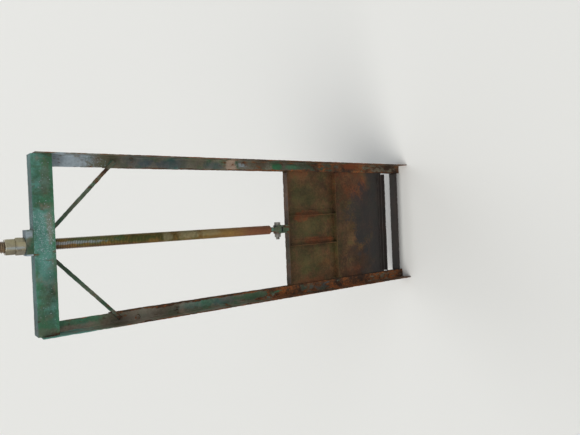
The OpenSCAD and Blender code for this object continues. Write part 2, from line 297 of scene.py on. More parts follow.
def make_groups():
    """Builds the effects that several finishes share."""
    # Ragged patches over about the share Cover of the surface
    w, given, out = new_group("Patches", "Vector Scale Cover Soft", "Mask")
    field = w.grain(given["Vector"], given["Scale"], 6, 0.62)
    edge = w.times_plus(given["Cover"], -0.5, 0.75)
    start = w.times(given["Soft"], -1.0)
    w.feed(out["Mask"], w.ease(w.sum("SUBTRACT", field, edge), start, given["Soft"]))

    # Small round specks of several sizes
    w, given, out = new_group("Flecks", "Vector Scale Cover", "Mask")
    cells = w.node("ShaderNodeTexVoronoi")
    w.feed(cells.inputs["Vector"], w.shaken(given["Vector"], 420, 0.006))
    w.feed(cells.inputs["Scale"], given["Scale"])
    drawn = w.node("ShaderNodeSeparateColor")
    w.feed(drawn.inputs[0], cells.outputs["Color"])
    chosen = w.sum("LESS_THAN", drawn.outputs["Red"], given["Cover"])
    size = w.times_plus(drawn.outputs["Green"], 0.35, 0.2)
    w.feed(out["Mask"], w.times(chosen, w.sum("LESS_THAN", cells.outputs["Distance"], size)))

    # Runs of dirt, drawn out along Z
    w, given, out = new_group("Streaks", "Vector Scale", "Mask")
    drawn = w.moved(given["Vector"], scale=(1, 1, 0.07))
    w.feed(out["Mask"], w.ease(w.grain(drawn, given["Scale"], 5, 0.6), 0.38, 0.66))

    # Rust in three shades, with more of the bright one as Freshness rises
    w, given, out = new_group("Rust", "Vector Dark Middle Bright Freshness", "Colour Height")
    broad = w.grain(given["Vector"], 16, 5, 0.6)
    fine = w.grain(w.moved(given["Vector"], (0.3, 0.1, 0.7)), 150, 5, 0.65)
    tone = w.blend(w.ease(broad, 0.36, 0.62), given["Dark"], given["Middle"])
    fresh = w.times_plus(given["Freshness"], -0.35, 0.72)
    spots = w.sum("SUBTRACT", w.times_plus(fine, 0.55, w.times(broad, 0.45)), fresh)
    w.feed(out["Colour"], w.blend(w.ease(spots, -0.08, 0.1), tone, given["Bright"]))
    w.feed(out["Height"], w.times_plus(fine, 0.7, w.times(broad, 0.3)))

    # One oval at X and Z, with an outline that Wobble makes uneven
    w, given, out = new_group("Blotch", "Vector Wobble X Z Wide High", "Mask")
    parts = w.axes(given["Vector"])
    beside = w.sum("DIVIDE", w.sum("SUBTRACT", parts["X"], given["X"]), given["Wide"])
    above = w.sum("DIVIDE", w.sum("SUBTRACT", parts["Z"], given["Z"]), given["High"])
    reach = w.sum("SQRT", w.times_plus(above, above, w.times(beside, beside)))
    w.feed(out["Mask"], w.ease(w.sum("ADD", reach, given["Wobble"]), 0.55, 1.35, 1.0, 0.0))

    # Lighter and darker clouds of the same colour
    w, given, out = new_group("Mottle", "Vector Colour Strength", "Colour")
    fine = w.grain(given["Vector"], 120, 5, 0.7)
    broad = w.grain(w.moved(given["Vector"], (1, 3, 1)), 9, 3, 0.5)
    tone = w.ease(w.times_plus(broad, 0.5, w.times(fine, 0.5)), 0.36, 0.64, 0.55, 1.4)
    toned = w.blend(1.0, given["Colour"], tone, "MULTIPLY")
    w.feed(out["Colour"], w.blend(given["Strength"], given["Colour"], toned))


def new_finish(name, sheen=0.5):
    """A material with its wiring, shader and object coordinates. sheen is the level of its reflection."""
    material = bpy.data.materials.new(name)
    material.use_nodes = True
    w = Wiring(material.node_tree)
    shader = material.node_tree.nodes["Principled BSDF"]
    shader.inputs["Specular IOR Level"].default_value = sheen
    return material, w, shader, w.node("ShaderNodeTexCoord").outputs["Object"]


def set_surface(w, shader, colour, rough, height, depth):
    """Feeds the shader a colour, a roughness and a height, raised as a bump of that depth in metres."""
    w.feed(shader.inputs["Base Color"], colour)
    w.feed(shader.inputs["Roughness"], rough)
    bump = w.node("ShaderNodeBump")
    bump.inputs["Distance"].default_value = depth
    w.feed(bump.inputs["Height"], height)
    w.feed(shader.inputs["Normal"], bump.outputs["Normal"])


def swatches():
    """The colours of the property group as the shader nodes read them."""
    colours = bpy.context.scene.gate_colours
    return {name: linear(getattr(colours, name)) for name in GateColours.__annotations__}


def blotch_masks(w, place, blotches):
    """Pairs of a blotch's kind and its mask. A blotch is kind, x, z, half width, half height and strength."""
    broad = w.grain(place, 15, 5, 0.65)
    fine = w.grain(w.moved(place, (2, 7, 1)), 95, 4, 0.7)
    wobble = w.times_plus(fine, 1.6, w.times_plus(broad, 3.0, -2.3))
    made = []
    for kind, x, z, wide, high, strength in blotches:
        mask = w.use("Blotch", Vector=place, Wobble=wobble, X=x, Z=z, Wide=wide, High=high)["Mask"]
        made.append((kind, w.times(mask, strength)))
    return made


def rust_on(w, place, c, dark, middle, freshness):
    """The colour and the height of rust in two of the swatches and a share of the bright one."""
    return w.use("Rust", Vector=place, Dark=c[dark], Middle=c[middle], Bright=c["rust_bright"],
                 Freshness=freshness)


def painted_finish(name, rust_low, rust_high, edge_rust, teal, rubbed, blotches=(), fresh=0.25):
    """Old green paint, rubbed and dusty, with chips and rust; its lighter edges are partly a painted
    highlight and its top faces carry dust and a painted sky sheen.

    rust_low and rust_high are the rust's cover at the sill and at the yoke, edge_rust is what edges add
    to it, and teal and rubbed are the shares of bleached and of rubbed paint. A blotch is named after a
    colour, or is rust, kept paint, specks or the place where rust is red. fresh is the share of bright rust.
    """
    material, w, shader, place = new_finish(name, 0.22)
    c = swatches()
    edge, pit, up, nook = (w.worn(mask) for mask in MASKS)
    level = w.axes(place)["Z"]
    masks = blotch_masks(w, place, blotches)
    cloud = w.ease(w.grain(place, 7, 4, 0.55), 0.3, 0.7)
    paint = w.blend(cloud, c["paint_dark"], c["paint_green"])
    pale = w.use("Patches", Vector=w.moved(place, (3, 1, 2)), Scale=9.0, Cover=teal, Soft=0.12)["Mask"]
    surface = w.blend(pale, paint, c["paint_teal"])
    grime = w.use("Streaks", Vector=place, Scale=46.0)["Mask"]
    surface = w.coat(surface, grime, c["slime"], 0.3)
    # Edges lightened towards teal: partly wear, partly a painted edge highlight
    surface = w.coat(surface, w.ease(edge, 0.5, 1.0), c["paint_teal"], 0.25)
    thin = w.use("Patches", Vector=w.moved(place, (1, 4, 2)), Scale=17.0, Cover=rubbed, Soft=0.12)["Mask"]
    surface = w.coat(surface, thin, c["worn_grey"], 0.75)
    cover = w.ease(level, RAIL_LOW.z, YOKE_HIGH.z, rust_low, rust_high)
    specks = reds = 0.0
    for kind, mask in masks:
        if kind == "rust":
            cover = w.sum("ADD", cover, mask)
        elif kind == "kept":
            cover = w.sum("SUBTRACT", cover, mask)
        elif kind == "specks":
            specks = w.sum("ADD", specks, mask)
        elif kind == "red":
            reds = mask
        else:
            surface = w.blend(mask, surface, c[kind])
    # Upward faces take a blue-grey coat: partly dust, partly a painted sky sheen
    surface = w.coat(surface, up, c["dust"], 0.6)
    surface = w.coat(surface, nook, c["rust_dark"], 0.55)
    surface = w.use("Mottle", Vector=place, Colour=surface, Strength=0.55)["Colour"]
    flecks = w.use("Flecks", Vector=place, Scale=340.0, Cover=specks)["Mask"]
    surface = w.coat(surface, flecks, c["bleached"], 0.8)
    lower = w.ease(level, 1.62, 1.86, 1.0, 0.25)
    eaten = w.times_plus(w.times(edge, lower), edge_rust, w.times_plus(pit, 0.2, cover))
    drawn = w.moved(place, (2, 2, 5), (1, 1, 0.35))
    chips = w.use("Patches", Vector=drawn, Scale=55.0, Cover=eaten, Soft=0.07)["Mask"]
    rust = rust_on(w, place, c, "rust_dark", "rust_mid", fresh)
    surface = w.blend(chips, surface, w.blend(reds, rust["Colour"], c["rust_red"]))
    gloss = w.times_plus(w.grain(place, 60, 3), 0.3, 0.24)
    rough = w.ease(w.sum("MAXIMUM", chips, w.times(up, 0.5)), 0, 1, gloss, 0.85)
    skin = w.times_plus(w.grain(place, 210, 2), 0.12, w.sum("SUBTRACT", 1.0, chips))
    height = w.times_plus(w.times(rust["Height"], chips), 1.4, skin)
    set_surface(w, shader, surface, rough, height, 0.0003)
    return material


def rusty_finish(name, wet_to, blotches=()):
    """Silt-stained rust with olive growth and blotches, soaked up to about wet_to."""
    material, w, shader, place = new_finish(name, 0.15)
    c = swatches()
    edge, pit, up, nook = (w.worn(mask) for mask in MASKS)
    level = w.axes(place)["Z"]
    rust = rust_on(w, place, c, "rust_dark", "rust_mid", 0.2)
    silt = w.ease(w.grain(w.moved(place, (4, 4, 1)), 8, 5, 0.65), 0.36, 0.6)
    surface = w.blend(w.times_plus(silt, 0.6, 0.25), rust["Colour"], c["leaf_brown"])
    growth = w.ease(w.grain(w.moved(place, (1, 6, 3)), 13, 6, 0.7), 0.42, 0.66)
    surface = w.coat(surface, growth, c["slime"], 0.6)
    runs = w.use("Streaks", Vector=place, Scale=34.0)["Mask"]
    surface = w.coat(surface, runs, c["rust_dark"], 0.22)
    shore = w.times_plus(w.grain(place, 9, 5, 0.65), 0.3, level)
    soaked = w.ease(shore, wet_to + 0.06, wet_to + 0.2, 1.0, 0.0)
    for kind, mask in blotch_masks(w, place, blotches):
        if kind == "soaked":
            soaked = w.sum("MAXIMUM", soaked, mask)
        elif kind == "red":
            reds = rust_on(w, w.moved(place, (3, 3, 3)), c, "rust_mid", "rust_red", 0.3)["Colour"]
            surface = w.blend(mask, surface, reds)
        else:
            surface = w.blend(mask, surface, c[kind])
    surface = w.coat(surface, edge, c["rust_mid"], 0.25)
    # Upward faces near the leaf's top take the blue-grey coat: partly dust, partly a painted sky sheen
    ledge = w.ease(level, LEAF_HIGH.z - 0.06, LEAF_HIGH.z - 0.02, 0.0, 0.25)
    surface = w.coat(surface, up, c["dust"], ledge)
    surface = w.coat(surface, nook, c["rust_dark"], 0.7)
    surface = w.use("Mottle", Vector=place, Colour=surface, Strength=0.85)["Colour"]
    surface = w.coat(surface, soaked, c["wet_dark"], 0.85)
    dull = w.times_plus(w.grain(place, 40, 3), 0.25, 0.55)
    height = w.times_plus(pit, -0.6, rust["Height"])
    set_surface(w, shader, surface, w.ease(soaked, 0, 1, dull, 0.3), height, 0.0006)
    return material


def screw_finish(name, blotches):
    """Greasy thread above, moss between, and a rust-brown rod below."""
    material, w, shader, place = new_finish(name, 0.25)
    c = swatches()
    detail = bpy.context.scene.gate_detail
    parts = w.axes(place)
    level = parts["Z"]
    behind = w.sum("SUBTRACT", parts["Y"], STEM_Y)
    radius = w.sum("SQRT", w.sum("ADD", w.times(parts["X"], parts["X"]), w.times(behind, behind)))
    crest = w.ease(radius, STEM_R - detail.thread_depth * 0.8, STEM_R - 0.0004)
    uneven = w.times_plus(w.grain(place, 12, 4), 0.1, w.sum("SUBTRACT", level, 0.05))
    runs = w.use("Streaks", Vector=place, Scale=70.0)["Mask"]
    rod = w.blend(w.ease(uneven, 1.12, 1.26), c["screw_rod"], c["screw_gold"])
    rod = w.coat(rod, runs, c["rust_mid"], 0.35)
    oily = w.blend(w.ease(w.grain(place, 34, 5), 0.4, 0.62), c["screw_gold"], c["screw_olive"])
    surface = w.blend(w.ease(uneven, 1.3, 1.46), rod, oily)
    for kind, mask in blotch_masks(w, place, blotches):
        surface = w.blend(mask, surface, c[kind])
    threaded = w.ease(level, detail.thread_from - 0.01, detail.thread_from + 0.02)
    groove = w.times(threaded, w.sum("SUBTRACT", 1.0, crest))
    surface = w.coat(surface, groove, c["rust_dark"], 0.55)
    surface = w.use("Mottle", Vector=place, Colour=surface, Strength=0.5)["Colour"]
    gloss = w.ease(level, 1.75, 1.95, 0.5, 0.22)
    rough = w.times_plus(w.grain(place, 80, 3), 0.2, gloss)
    set_surface(w, shader, surface, rough, w.grain(place, 150, 5), 0.0002)
    return material


def metal_finish(name, metal, metallic, rough, grime_cover, grime, blotches=()):
    """Dull bare metal with grime and blotches."""
    material, w, shader, place = new_finish(name, 0.35)
    c = swatches()
    tone = w.blend(w.ease(w.grain(place, 90, 5), 0.35, 0.65, 0.0, 0.5), c[metal], c["worn_grey"])
    for kind, mask in blotch_masks(w, place, blotches):
        tone = w.blend(mask, tone, c[kind])
    cover = w.times_plus(w.worn("edge"), -0.3, grime_cover)
    dirt = w.use("Patches", Vector=w.moved(place, (2, 1, 3)), Scale=75.0, Cover=cover, Soft=0.05)["Mask"]
    w.feed(shader.inputs["Metallic"], w.times(w.sum("SUBTRACT", 1.0, dirt), metallic))
    tone = w.coat(tone, dirt, c[grime], 0.6)
    set_surface(w, shader, tone, w.ease(dirt, 0, 1, rough, 0.7), w.grain(place, 380, 4), 0.00015)
    return material


# Blotches: kind, x, z, half width, half height and strength
YOKE_BLOTCHES = (
    ("worn_grey", -0.333, 2.06, 0.018, 0.05, 0.5), ("mud", -0.2, 2.066, 0.06, 0.024, 0.2),
    ("paint_dark", -0.29, 2.07, 0.06, 0.05, 0.55), ("paint_teal", -0.12, 2.055, 0.04, 0.03, 0.45),
    ("paint_teal", 0.02, 2.075, 0.12, 0.04, 0.7), ("specks", 0.03, 2.06, 0.08, 0.07, 0.5),
    ("specks", -0.14, 2.055, 0.14, 0.05, 0.03), ("specks", 0.16, 2.06, 0.14, 0.04, 0.05),
    ("worn_grey", 0.07, 2.043, 0.06, 0.014, 0.6), ("mud", 0.24, 2.055, 0.07, 0.02, 0.4),
    ("bright_green", 0.0, 2.027, 0.6, 0.01, 0.45), ("rust", -0.335, 2.04, 0.012, 0.02, 0.3))
# On the left rail the thin teal line along the outer leg's edge at the top is a painted highlight
LEFT_RAIL_BLOTCHES = (
    ("mortar", -0.335, 1.97, 0.016, 0.11, 0.3), ("paint_green", -0.31, 1.95, 0.015, 0.12, 0.75),
    ("paint_teal", -0.35, 2.0, 0.006, 0.12, 0.9), ("kept", -0.35, 1.95, 0.02, 0.2, 0.5),
    ("mud", -0.325, 1.77, 0.07, 0.07, 0.7), ("rust", -0.325, 1.78, 0.05, 0.05, 0.12),
    ("worn_grey", -0.325, 1.67, 0.05, 0.09, 0.55), ("mud", -0.325, 1.54, 0.05, 0.07, 0.6),
    ("mortar", -0.325, 1.495, 0.05, 0.012, 0.4), ("paint_teal", -0.32, 1.42, 0.014, 0.09, 0.35),
    ("paint_green", -0.318, 1.36, 0.01, 0.04, 0.55), ("dust", -0.32, 1.26, 0.015, 0.07, 0.4),
    ("paint_green", -0.32, 1.12, 0.015, 0.11, 0.7), ("slime", -0.32, 1.12, 0.02, 0.13, 0.35),
    ("rust", -0.325, 0.92, 0.05, 0.1, 0.45), ("kept", -0.32, 1.22, 0.014, 0.25, 0.4),
    ("kept", -0.32, 0.92, 0.006, 0.07, 0.35), ("paint_green", -0.32, 0.92, 0.01, 0.08, 0.9),
    ("rust_dark", -0.325, 0.72, 0.05, 0.2, 0.5), ("dust", -0.319, 0.63, 0.013, 0.09, 0.5),
    ("mud", -0.325, 0.4, 0.06, 0.16, 0.7), ("mud", -0.325, 0.1, 0.06, 0.15, 0.8),
    ("rust", -0.325, 0.42, 0.06, 0.14, 0.4))
# On the right rail the pale patch at the top of the face leg is a painted sky reflection
RIGHT_RAIL_BLOTCHES = (
    ("bleached", 0.322, 1.97, 0.035, 0.09, 0.95), ("specks", 0.325, 1.89, 0.04, 0.07, 0.35),
    ("worn_grey", 0.322, 1.71, 0.02, 0.06, 0.5), ("mud", 0.325, 1.80, 0.05, 0.05, 0.7),
    ("dust", 0.325, 1.66, 0.03, 0.08, 0.35), ("dust", 0.322, 1.53, 0.022, 0.12, 0.6),
    ("mud", 0.325, 1.4, 0.04, 0.06, 0.5), ("dust", 0.318, 1.3, 0.02, 0.05, 0.45),
    ("mortar", 0.325, 1.2, 0.04, 0.032, 1.0), ("bleached", 0.325, 1.14, 0.015, 0.035, 0.65),
    ("mud", 0.325, 1.04, 0.05, 0.06, 0.85), ("rust_dark", 0.325, 1.02, 0.05, 0.06, 0.35),
    ("rust_dark", 0.325, 0.86, 0.06, 0.14, 0.5), ("bright_green", 0.322, 0.93, 0.013, 0.05, 0.9),
    ("paint_green", 0.322, 0.83, 0.013, 0.07, 0.7), ("kept", 0.322, 0.87, 0.017, 0.12, 0.4),
    ("kept", 0.322, 1.5, 0.02, 0.45, 0.25), ("paint_dark", 0.325, 0.66, 0.06, 0.14, 0.6),
    ("rust_dark", 0.325, 0.6, 0.06, 0.2, 0.4), ("mud", 0.325, 0.15, 0.06, 0.2, 0.8),
    ("red", 0.333, 0.38, 0.02, 0.06, 1.0), ("rust", 0.325, 0.39, 0.03, 0.08, 0.5))
LEAF_BLOTCHES = (
    ("slime", -0.19, 0.72, 0.07, 0.12, 0.5), ("slime", 0.0, 0.72, 0.06, 0.12, 0.5),
    ("slime", 0.17, 0.72, 0.07, 0.1, 0.45), ("slime", -0.12, 0.52, 0.1, 0.05, 0.5),
    ("red", 0.24, 0.41, 0.1, 0.12, 0.9), ("red", 0.2, 0.3, 0.08, 0.06, 0.6),
    ("red", 0.072, 0.74, 0.018, 0.09, 0.9), ("red", 0.05, 0.78, 0.018, 0.05, 0.8),
    ("red", -0.072, 0.67, 0.018, 0.12, 0.85), ("red", -0.29, 0.7, 0.025, 0.1, 0.5),
    ("red", 0.29, 0.77, 0.02, 0.06, 0.6), ("rust_dark", -0.22, 0.34, 0.13, 0.12, 0.8),
    ("red", -0.27, 0.4, 0.04, 0.08, 0.35), ("red", -0.2, 0.62, 0.03, 0.05, 0.3),
    ("rust_dark", 0.0, 0.47, 0.3, 0.05, 0.35), ("soaked", 0.09, 0.35, 0.09, 0.08, 0.9),
    ("soaked", -0.02, 0.29, 0.15, 0.09, 0.95), ("soaked", 0.08, 0.26, 0.15, 0.08, 0.95),
    ("rust_dark", 0.27, 0.36, 0.07, 0.06, 0.5))


BRACE_BLOTCHES = (
    ("paint_dark", 0, 1.95, 0.4, 0.2, 0.6), ("rust", -0.3, 1.79, 0.05, 0.04, 0.3),
    ("rust", 0.25, 1.85, 0.1, 0.05, 0.3), ("mud", 0.3, 1.8, 0.07, 0.06, 0.75))
# On the bearing block the dark paint on its left is painted shade, the pale patch on its right is painted
# light, and the narrow pale mark at its left corner is a painted highlight
FITTING_BLOTCHES = (
    ("bleached", 0.045, 2.12, 0.02, 0.03, 0.8), ("paint_dark", -0.02, 2.12, 0.03, 0.03, 0.6),
    ("bleached", -0.036, 2.115, 0.004, 0.014, 0.9), ("kept", 0, 2.115, 0.06, 0.03, 0.5),
    ("slime", 0, 0.93, 0.08, 0.08, 0.6))
# On the stem, the narrow pale stripe around 1.95 m is a painted highlight
SCREW_BLOTCHES = (
    ("rust_mid", -0.022, 1.9, 0.01, 0.3, 0.7), ("screw_rod", -0.01, 2.0, 0.02, 0.05, 0.5),
    ("screw_gold", 0.016, 1.78, 0.012, 0.3, 0.5), ("moss", 0.004, 1.67, 0.016, 0.1, 0.75),
    ("bright_green", 0.01, 1.88, 0.014, 0.1, 0.5), ("pale_grease", 0.003, 1.56, 0.024, 0.02, 0.7),
    ("pale_grease", 0.005, 1.46, 0.022, 0.05, 0.7), ("pale_grease", 0.005, 1.37, 0.014, 0.07, 0.35),
    ("bleached", 0.002, 1.95, 0.006, 0.11, 0.6), ("mortar", 0.008, 2.27, 0.03, 0.12, 0.5),
    ("rust_mid", -0.008, 2.33, 0.02, 0.1, 0.5), ("rust_red", 0, 1.04, 0.03, 0.08, 0.6))
# On the nuts the narrow pale stripe is a painted highlight; the mud on the left faces and the pale grease on
# the right are partly dirt and grease, partly painted shade and light on the faces
NUT_BLOTCHES = (
    ("mud", -0.024, 2.16, 0.014, 0.06, 0.6), ("pale_grease", 0.02, 2.15, 0.014, 0.04, 0.5),
    ("bleached", -0.004, 2.165, 0.0045, 0.04, 0.55))


def finish_named(name):
    """A finish of the gate, made when a piece first asks for it."""
    if name in bpy.data.materials:
        return bpy.data.materials[name]
    if "Rust" not in bpy.data.node_groups:
        make_groups()
    makers = {
        "yoke_paint": (painted_finish, 0.0, 0.06, 0.1, 0.4, 0.22, YOKE_BLOTCHES),
        "left_rail_paint": (painted_finish, 0.55, 0.15, 0.75, 0.2, 0.6, LEFT_RAIL_BLOTCHES, 0.5),
        "right_rail_paint": (painted_finish, 0.5, 0.1, 0.65, 0.2, 0.6, RIGHT_RAIL_BLOTCHES, 0.4),
        "brace_paint": (painted_finish, 0.3, 0.1, 0.25, 0.25, 0.6, BRACE_BLOTCHES),
        "fitting_paint": (painted_finish, 0.25, 0.15, 0.2, 0.3, 0.4, FITTING_BLOTCHES),
        "weld_rust": (painted_finish, 0.6, 0.25, 0.1, 0.3, 0.3),
        "frame_rust": (rusty_finish, 0.2),
        "leaf_rust": (rusty_finish, 0.3, LEAF_BLOTCHES),
        "greased_screw": (screw_finish, SCREW_BLOTCHES),
        "nut_bronze": (metal_finish, "bronze", 0.5, 0.24, 0.08, "mud", NUT_BLOTCHES),
        "bolt_zinc": (metal_finish, "zinc", 0.5, 0.4, 0.5, "rust_dark"),
    }
    maker, *values = makers[name]
    return maker(name, *values)


# Mesh building

# Points closer than this are one point
MERGE = 0.00001


def slice_along(bm, axis, cell):
    """Cuts the mesh square to an axis at even steps, working upwards so that each cut meets few faces."""
    reach = [v.co[axis] for v in bm.verts]
    low, high = min(reach), max(reach)
    count = max(round((high - low) / cell), 1)
    normal = Vector((axis == 0, axis == 1, axis == 2))
    above = bm.faces[:]
    for i in range(1, count):
        level = low + (high - low) * i / count
        near = set(above)
        for face in above:
            near.update(face.edges)
            near.update(face.verts)
        cut = bmesh.ops.bisect_plane(bm, geom=list(near), dist=MERGE, plane_co=normal * level,
                                     plane_no=normal)
        above = [g for g in cut["geom"] if isinstance(g, bmesh.types.BMFace)
                 and max(v.co[axis] for v in g.verts) > level + MERGE * 2]


def sharp_edges(bm, angle=0.6):
    """The edges where two faces meet at more than an angle in radians."""
    return [e for e in bm.edges if len(e.link_faces) == 2 and e.calc_face_angle() > angle]


def edge_tree(edges, outward):
    """A search tree of points along the outward or the inward edges."""
    points = [Vector((0, 0, -9))]
    for edge in edges:
        if edge.is_convex == outward:
            start, end = (v.co for v in edge.verts)
            steps = max(int((end - start).length / 0.002), 1)
            points += [start.lerp(end, i / steps) for i in range(steps + 1)]
    tree = kdtree.KDTree(len(points))
    for i, point in enumerate(points):
        tree.insert(point, i)
    tree.balance()
    return tree


def eat(bm, outer, inner, pitting, nibble):
    """Lets rust eat into the mesh, inwards only, and notes on its points the masks that the finishes read."""
    reach = bpy.context.scene.gate_detail.edge_reach
    masks = [bm.verts.layers.float.new(name) for name in MASKS]
    bm.normal_update()
    moves = []
    for v in bm.verts:
        edge = 1 - smooth(0, reach, outer.find(v.co)[2])
        broad = noise.fractal(v.co * 13, 0.7, 2.1, 4)
        fine = noise.noise(v.co * 170)
        pit = smooth(-0.05, 0.45, broad + 0.3 * edge)
        depth = pitting * pit * (0.75 + 0.5 * fine)
        depth += nibble * edge ** 4 * smooth(0.0, 0.5, noise.noise(v.co * 55 + Vector((9, 2, 5))))
        nook = 1 - smooth(0, reach * 0.8, inner.find(v.co)[2])
        for mask, value in zip(masks, (edge, pit, smooth(0.6, 0.95, v.normal.z), nook)):
            v[mask] = value
        moves.append((v, v.normal * max(depth, 0)))
    for v, move in moves:
        v.co -= move


def mesh_of(name, bm):
    """Writes a bmesh to a new mesh and frees it."""
    mesh = bpy.data.meshes.new(name)
    bm.to_mesh(mesh)
    bm.free()
    return mesh


def add_object(name, data):
    """A new object in the scene."""
    made = bpy.data.objects.new(name, data)
    bpy.context.scene.collection.objects.link(made)
    return made


def add_piece(name, bm, body, finish, replaced=()):
    """Turns a mesh into a finished piece that rides on a body."""
    mesh = mesh_of(name, bm)
    mesh.shade_smooth()
    mesh.set_sharp_from_angle(angle=0.65)
    mesh.materials.append(finish_named(finish))
    piece = add_object(name, mesh)
    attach(piece, body)
    if replaced:
        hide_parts(*replaced)


def copy_of(node):
    """A merged copy of a node's mesh with its flat faces whole again."""
    bm = bmesh.new()
    bm.from_mesh(frame["nodes"][node].data)
    bmesh.ops.remove_doubles(bm, verts=bm.verts, dist=MERGE * 2)
    bmesh.ops.dissolve_limit(bm, angle_limit=0.01, verts=bm.verts, edges=bm.edges)
    return bm


def weathered_mesh(node, cell, axes="YXZ", pitting=1.0, nibble=1.0, arris=1.0):
    """A copy of a node with its edges eased, cut into cells along the axes and eaten by rust."""
    detail = bpy.context.scene.gate_detail
    bm = copy_of(node)
    edges = sharp_edges(bm)
    trees = edge_tree(edges, True), edge_tree(edges, False)
    bmesh.ops.bevel(bm, geom=edges, offset=detail.arris * arris, offset_type="OFFSET", segments=2,
                    profile=0.5, affect="EDGES", clamp_overlap=False, material=-1)
    for axis in axes:
        slice_along(bm, "XYZ".index(axis), cell * (1))
    eat(bm, *trees, detail.pitting * pitting, detail.nibble * nibble)
    return bm


def weathered(node, body, finish, cell, **wear):
    """Adds a node's weathered mesh as the piece that stands for the node."""
    add_piece(node + "_piece", weathered_mesh(node, cell, **wear), body, finish, [node])


def turn_faces_out(bm):
    """Turns every face of a closed mesh outwards."""
    bmesh.ops.recalc_face_normals(bm, faces=bm.faces)


def join(bm, other):
    """Adds a second mesh to the first and frees it."""
    spare = mesh_of("spare", other)
    bm.from_mesh(spare)
    bpy.data.meshes.remove(spare)


def across(direction):
    """A turn that takes Z to a direction."""
    return direction.to_track_quat("Z", "Y").to_matrix().to_4x4()


def flat_masks(bm, edge_level=0.0, pit_level=0.3):
    """Gives every point the same edge and pit masks."""
    edge, pit = (bm.verts.layers.float.new(name) for name in MASKS[:2])
    for v in bm.verts:
        v[edge], v[pit] = edge_level, pit_level


def add_bead(bm, start, end, radius, draw):
    """A rippled weld bead from start to end, tapered at both ends. draw gives the random phase."""
    ripple = bpy.context.scene.gate_detail.ripple
    run = end - start
    length = run.length + radius
    rod = bmesh.ops.create_cone(bm, cap_ends=True, cap_tris=False, segments=8, radius1=radius,
                                radius2=radius, depth=length)["verts"]
    long_edges = {e for v in rod for e in v.link_edges
                  if abs(e.verts[0].co.z - e.verts[1].co.z) > length / 2}
    rings = max(round(length / ripple * 4), 4)
    bmesh.ops.subdivide_edges(bm, edges=list(long_edges), cuts=rings, use_grid_fill=True)
    fresh = [v for v in bm.verts if not v.tag]
    phase = draw.uniform(0, math.tau)
    for v in fresh:
        along = v.co.z
        wave = 0.86 + 0.12 * math.sin(math.tau * along / ripple + phase)
        wave += 0.16 * noise.noise(Vector((phase, 0, along * 160)))
        taper = math.sqrt(max(1 - (abs(along) / (length / 2)) ** 6, 0.06))
        v.co.x *= wave * taper
        v.co.y *= wave * taper
        v.tag = True
    bmesh.ops.transform(bm, matrix=Matrix.Translation((start + end) / 2) @ across(run), verts=fresh)


def add_beads(name, body, lines, radius, finish="weld_rust"):
    """One piece of weld beads along several lines."""
    bm = bmesh.new()
    draw = random.Random(bpy.context.scene.gate_detail.seed + len(lines))
    for start, end in lines:
        add_bead(bm, Vector(start), Vector(end), radius, draw)
    turn_faces_out(bm)
    flat_masks(bm, 0.55, 0.4)
    add_piece(name, bm, body, finish)


def both_sides(lines):
    """The same lines and their mirror images in X."""
    mirrored = [tuple((-x, y, z) for x, y, z in line) for line in lines]
    return list(lines) + mirrored


def stitches(start, end, count, length):
    """Short lines spread evenly from start to end."""
    start, end = Vector(start), Vector(end)
    step = end - start
    half = step.normalized() * length / 2
    middles = [start + step * (i + 0.5) / count for i in range(count)]
    return [(tuple(m - half), tuple(m + half)) for m in middles]


def add_ridge(bm, bottom, top, outer, root, pitch, per_turn=24):
    """A right-handed screw ridge on the Z axis, sunk a little into the root and faded out at both ends."""
    base, crest = pitch * 0.34, pitch * 0.17
    inside = root - 0.0004
    fade_run = pitch * 1.2
    outline = ((inside, -base), (outer, -crest), (outer, crest), (inside, base))
    turn = bmesh.new()
    corners = [turn.verts.new((r, 0, bottom + pitch / 2 + z)) for r, z in outline]
    edges = [turn.edges.new(pair) for pair in zip(corners, corners[1:] + corners[:1])]
    bmesh.ops.spin(turn, geom=[*corners, *edges], cent=(0, 0, 0), axis=(0, 0, 1),
                   dvec=(0, 0, pitch / per_turn), angle=math.tau, steps=per_turn, use_merge=False)
    first = [*turn.verts, *turn.edges, *turn.faces]
    for i in range(1, int((top - bottom) / pitch - 1)):
        copied = bmesh.ops.duplicate(turn, geom=first)["geom"]
        points = [g for g in copied if isinstance(g, bmesh.types.BMVert)]
        bmesh.ops.translate(turn, vec=(0, 0, pitch * i), verts=points)
    bmesh.ops.remove_doubles(turn, verts=turn.verts, dist=MERGE)
    bmesh.ops.holes_fill(turn, edges=[e for e in turn.edges if e.is_boundary], sides=4)
    for v in turn.verts:
        radius = math.hypot(v.co.x, v.co.y)
        fade = min(smooth(0, fade_run, v.co.z - bottom), smooth(0, fade_run, top - v.co.z))
        wanted = inside + (radius - inside) * max(fade, 0.05)
        v.co.x *= wanted / radius
        v.co.y *= wanted / radius
    turn_faces_out(turn)
    join(bm, turn)


def add_turned(bm, outline, segments):
    """A solid of revolution on the Z axis from its radius and height pairs."""
    points = [bm.verts.new((r, 0, z)) for r, z in outline]
    edges = [bm.edges.new(pair) for pair in zip(points, points[1:])]
    bmesh.ops.spin(bm, geom=[*points, *edges], cent=(0, 0, 0), axis=(0, 0, 1), dvec=(0, 0, 0),
                   angle=math.tau, steps=segments, use_merge=True)
    bmesh.ops.remove_doubles(bm, verts=bm.verts, dist=MERGE)


# Operators, one for each group of pieces


class GATE_OT_rails(Operator):
    """Weather the two angle-iron rails"""
    bl_idname = "gate.rails"
    bl_label = "Rails"

    def execute(self, context):
        cell = context.scene.gate_detail.rail_cell
        for side in ("left", "right"):
            weathered(f"{side}_rail", "frame", f"{side}_rail_paint", cell, nibble=1.2)
        return {"FINISHED"}


